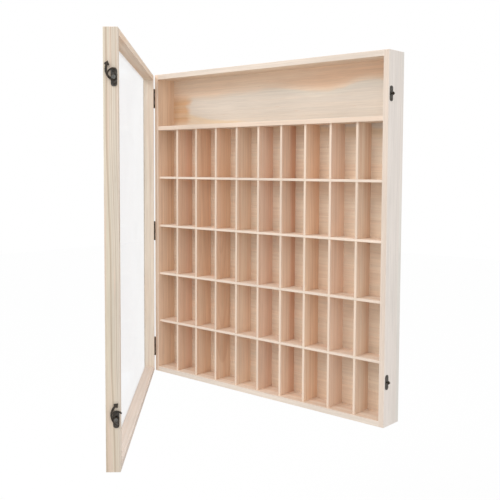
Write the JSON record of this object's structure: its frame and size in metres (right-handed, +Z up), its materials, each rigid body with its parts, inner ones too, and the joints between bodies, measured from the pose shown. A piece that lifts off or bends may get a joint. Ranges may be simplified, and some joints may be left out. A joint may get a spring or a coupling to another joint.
{
  "type": "wall display case",
  "caption": "Shallow pine wall case with a tray above a grid of small compartments, a deep framed clear door on butt hinges and two swing hooks.",
  "frame": {"origin": "midway between the centres of the two hanging eyes, in the plane of the wall", "axes": "+Z up, +Y into the wall along the eyes' holes, +X to the right of someone facing the case"},
  "size_m": [0.5618, 0.4603, 0.6],
  "materials": {
    "pine_board": "sanded, unfinished pale pine",
    "slat_pine": "sanded, unfinished pine slats",
    "back_plywood": "sanded, unfinished pine-faced plywood",
    "clear_pane": "clear acrylic sheet",
    "antique_bronze": "dark antique bronze plating, rubbed to grey on raised places",
    "zinc_steel": "bright zinc plate"
  },
  "bodies": {
    "case": {"back_panel": "back_plywood", "back_panel_nails": "zinc_steel", "bottom_board": "pine_board", "catch_knob_lower": "antique_bronze", "catch_knob_upper": "antique_bronze", "catch_plate_lower": "antique_bronze", "catch_plate_nails": "antique_bronze", "catch_plate_upper": "antique_bronze", "column_divider_1": "slat_pine", "column_divider_2": "slat_pine", "column_divider_3": "slat_pine", "column_divider_4": "slat_pine", "column_divider_5": "slat_pine", "column_divider_6": "slat_pine", "column_divider_7": "slat_pine", "column_divider_8": "slat_pine", "column_divider_9": "slat_pine", "hanging_plate_left": "zinc_steel", "hanging_plate_right": "zinc_steel", "hanging_plate_screws": "zinc_steel", "hinge_case_leaf_lower": "antique_bronze", "hinge_case_leaf_middle": "antique_bronze", "hinge_case_leaf_upper": "antique_bronze", "hinge_case_screws": "antique_bronze", "hinge_pin_lower": "antique_bronze", "hinge_pin_middle": "antique_bronze", "hinge_pin_upper": "antique_bronze", "row_shelf_1": "slat_pine", "row_shelf_2": "slat_pine", "row_shelf_3": "slat_pine", "row_shelf_4": "slat_pine", "side_wall_left": "pine_board", "side_wall_right": "pine_board", "top_board": "pine_board", "upper_shelf": "pine_board"},
    "door": {"door_pane": "clear_pane", "door_rail_bottom": "pine_board", "door_rail_top": "pine_board", "door_stile_hinge": "pine_board", "door_stile_latch": "pine_board", "hinge_door_leaf_lower": "antique_bronze", "hinge_door_leaf_middle": "antique_bronze", "hinge_door_leaf_upper": "antique_bronze", "hinge_door_screws": "antique_bronze", "latch_pivot_lower": "antique_bronze", "latch_pivot_upper": "antique_bronze", "latch_plate_lower": "antique_bronze", "latch_plate_nails": "antique_bronze", "latch_plate_upper": "antique_bronze"},
    "upper_hook": {"latch_hook_upper": "antique_bronze"},
    "lower_hook": {"latch_hook_lower": "antique_bronze"}
  },
  "joints": [
    {"name": "door_hinge", "type": "hinge", "parent": "case", "child": "door", "pos_m": [-0.27221, -0.0501, -0.275], "axis": [0, 0, -1], "range_deg": [-46.8, 133.2]},
    {"name": "upper_hook_pivot", "type": "hinge", "parent": "door", "child": "upper_hook", "pos_m": [0.09473, -0.44932, -0.042], "axis": [0.6845, -0.729, 0], "range_deg": [-126.26, 60]},
    {"name": "lower_hook_pivot", "type": "hinge", "parent": "door", "child": "lower_hook", "pos_m": [0.09473, -0.44932, -0.501], "axis": [0.6845, -0.729, 0], "range_deg": [-98.76, 87.5]}
  ]
}
